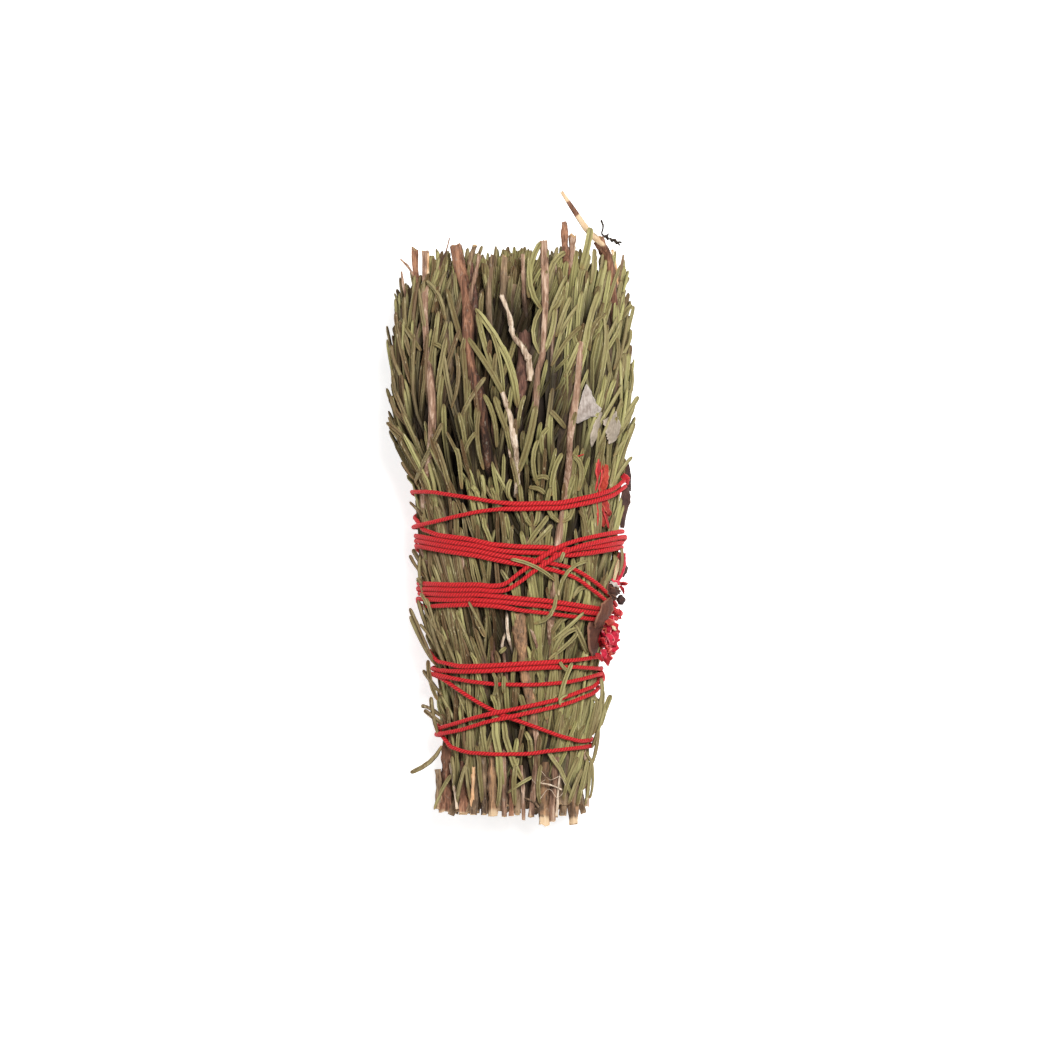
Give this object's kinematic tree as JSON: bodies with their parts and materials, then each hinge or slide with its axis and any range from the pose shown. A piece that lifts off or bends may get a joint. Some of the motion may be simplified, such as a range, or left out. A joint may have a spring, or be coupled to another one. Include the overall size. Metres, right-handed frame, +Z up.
{
  "type": "smudge stick",
  "caption": "Dried rosemary sprigs and bare stems bundled and wound criss-cross with red cotton thread, a dried red flower tucked in at one side.",
  "frame": {"origin": "on the surface it lies on, under the middle of its bounding box", "axes": "+Y along the bundle towards the leafy end, +Z up from the surface, +X to the side that holds the flower"},
  "size_m": [0.0592, 0.1515, 0.0468],
  "materials": {
    "leaf_green": "dry olive needle leaves, matt, pale ribs",
    "leaf_brown": "dry brown needle leaves inside the bundle, matt",
    "bark": "thin ridged bark, red-brown, matt",
    "bark_dark": "dark red-brown bark, matt",
    "bark_pale": "pale stripped wood, matt",
    "cotton_red": "twisted cotton thread, bright red, soft sheen",
    "petal_red": "dried crumpled petal, deep red to crimson",
    "petal_dark": "dried petal gone dark maroon",
    "husk_brown": "dried brown bract with paler rim",
    "paper_leaf": "thin papery grey-lavender leaf"
  },
  "bodies": {
    "root": {"thread": "cotton_red", "sprig_outer_01": "leaf_green", "sprig_outer_02": "leaf_green", "sprig_outer_03": "leaf_green", "sprig_outer_04": "leaf_green", "sprig_outer_05": "leaf_green", "sprig_outer_06": "leaf_green", "sprig_outer_07": "leaf_green", "sprig_outer_08": "leaf_green", "sprig_outer_09": "leaf_green", "sprig_outer_10": "leaf_green", "sprig_outer_11": "leaf_green", "sprig_outer_12": "leaf_green", "sprig_inner_1": "leaf_brown", "sprig_inner_2": "leaf_brown", "sprig_inner_3": "leaf_brown", "sprig_inner_4": "leaf_brown", "sprig_inner_5": "leaf_brown", "sprig_inner_6": "leaf_brown", "sprig_centre": "leaf_brown", "stem_red_brown": "bark", "stem_split_left": "bark", "stem_pink_fork": "bark", "stem_dark_red": "bark_dark", "stem_pale_gnarled": "bark_pale", "stem_pale_twig": "bark_pale", "stem_jointed": "bark", "stem_thick_low": "bark", "stem_left_low": "bark", "stem_broken_top": "bark", "stem_stripped": "bark_pale", "stem_under_1": "bark", "stem_under_2": "bark", "bloom": "petal_red", "petal_folded_upper": "petal_red", "petal_folded_lower": "petal_red", "petal_point": "petal_red", "petal_tip": "petal_red", "sheet_dark": "petal_dark", "sepal_plate": "husk_brown", "husk_crumpled": "husk_brown", "bud_upper": "petal_dark", "bud_lower": "petal_dark", "leaf_papery_upper": "paper_leaf", "leaf_papery_lower": "paper_leaf", "leaf_grey_oval": "paper_leaf"}
  },
  "joints": []
}
